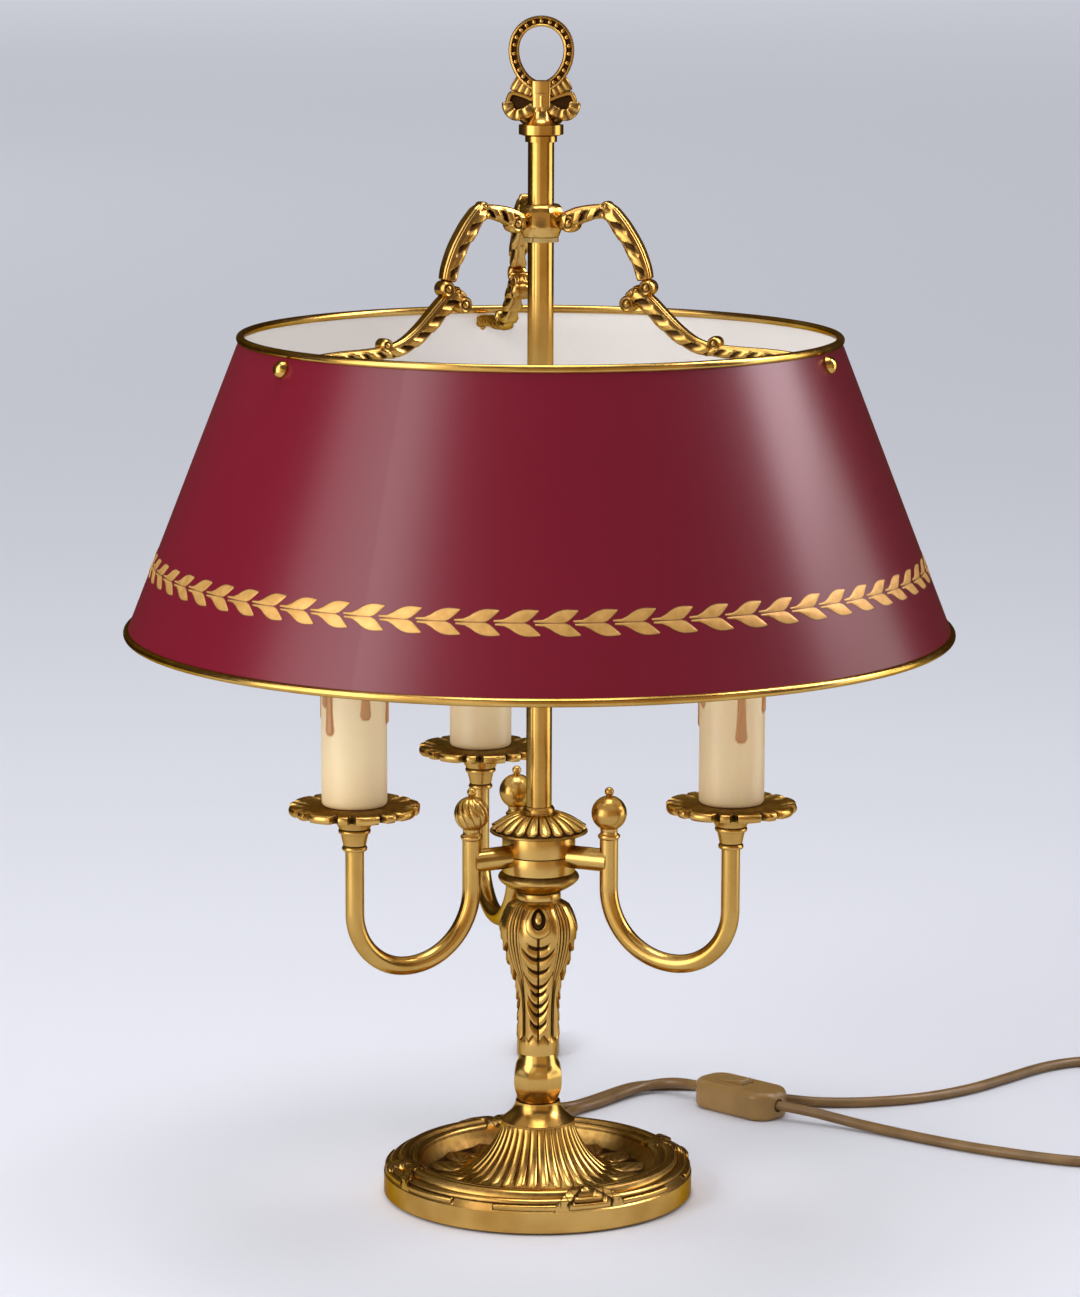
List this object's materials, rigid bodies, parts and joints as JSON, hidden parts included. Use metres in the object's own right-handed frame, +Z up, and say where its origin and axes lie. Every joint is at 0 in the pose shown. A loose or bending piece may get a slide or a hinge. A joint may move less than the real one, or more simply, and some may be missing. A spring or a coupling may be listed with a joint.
{
  "type": "bouillotte lamp",
  "caption": "Table lamp with three candle arms on a turned leafy brass stem, under a round tapered metal shade that slides on the rod, with a switch on the cord.",
  "frame": {"origin": "middle of the foot's underside, on the surface that the lamp stands on", "axes": "+Z up along the rod; the finial's oval ring lies in the XZ plane and the front of the lamp faces -Y"},
  "size_m": [0.6701, 0.5597, 0.6449],
  "materials": {
    "bulb_cap": "rolled thread, matt",
    "bush_plastic": "moulded",
    "candle_ivory": "moulded wax look with orange drips",
    "cast_iron": "rough cast",
    "clear_glass": "clear blown glass",
    "cord_gold": "gold-brown sheath",
    "felt": "pressed felt",
    "gland_plastic": "moulded",
    "holder_plastic": "moulded",
    "plug_brass": "plated",
    "polished_brass": "cast and polished, lacquered, with warm dark recesses",
    "red_enamel": "satin burgundy paint outside with a gold laurel band, cream inside",
    "steel": "zinc plated",
    "switch_gold": "gold-brown moulding",
    "wire_sheath": "smooth sheath"
  },
  "bodies": {
    "lamp": {"arm_balls": "polished_brass", "arm_links": "polished_brass", "arm_tube_back": "polished_brass", "arm_tube_left": "polished_brass", "arm_tube_right": "polished_brass", "arm_wires": "wire_sheath", "bell": "polished_brass", "bulb_caps": "bulb_cap", "bulb_glass_back": "clear_glass", "bulb_glass_left": "clear_glass", "bulb_glass_right": "clear_glass", "candle_cup_back": "polished_brass", "candle_cup_left": "polished_brass", "candle_cup_right": "polished_brass", "candle_sleeve_back": "candle_ivory", "candle_sleeve_left": "candle_ivory", "candle_sleeve_right": "candle_ivory", "centre_nipple": "steel", "connector_block": "holder_plastic", "cord_coil": "cord_gold", "cord_gland": "gland_plastic", "cord_lamp_lead": "cord_gold", "cord_mains_lead": "cord_gold", "cord_return": "cord_gold", "drip_tray_back": "polished_brass", "drip_tray_left": "polished_brass", "drip_tray_right": "polished_brass", "faceted_knop": "polished_brass", "finial_collar": "polished_brass", "finial_ring": "polished_brass", "foot_casting": "polished_brass", "foot_felt": "felt", "foot_nut": "steel", "foot_washer": "steel", "foot_weight": "cast_iron", "hub_bowl": "polished_brass", "hub_dome": "polished_brass", "hub_lower_half": "polished_brass", "hub_upper_half": "polished_brass", "lamp_rod": "polished_brass", "lampholders": "holder_plastic", "leaf_baluster": "polished_brass", "plug_body": "switch_gold", "plug_pins": "plug_brass", "supply_lead": "wire_sheath", "switch_base": "switch_gold", "switch_cover": "switch_gold", "switch_screws": "steel"},
    "height_bush": {"collar_bush": "bush_plastic"},
    "shade": {"shade_lower_bead": "polished_brass", "shade_nuts": "polished_brass", "shade_screws": "steel", "shade_upper_bead": "polished_brass", "shade_wall": "red_enamel", "spider_arm_back": "polished_brass", "spider_arm_left": "polished_brass", "spider_arm_right": "polished_brass", "spider_collar": "polished_brass"},
    "set_screw": {"collar_set_screw": "polished_brass"},
    "rocker": {"switch_rocker": "switch_gold"}
  },
  "joints": [
    {"name": "shade_height", "type": "slide", "parent": "lamp", "child": "height_bush", "axis": [0, 0, 1], "range_m": [-0.045, 0.03]},
    {"name": "shade_turn", "type": "hinge", "parent": "height_bush", "child": "shade", "pos_m": [0, 0, 0.535], "axis": [0, 0, 1], "continuous": true},
    {"name": "set_screw_turn", "type": "hinge", "parent": "shade", "child": "set_screw", "pos_m": [0.00614, 0.01258, 0.535], "axis": [0.4384, 0.8988, 0], "range_deg": [0, 360]},
    {"name": "rocker_tilt", "type": "hinge", "parent": "lamp", "child": "rocker", "pos_m": [0.11688, 0.16583, 0.0118], "axis": [0.682, 0.7314, 0], "range_deg": [0, 14]}
  ]
}
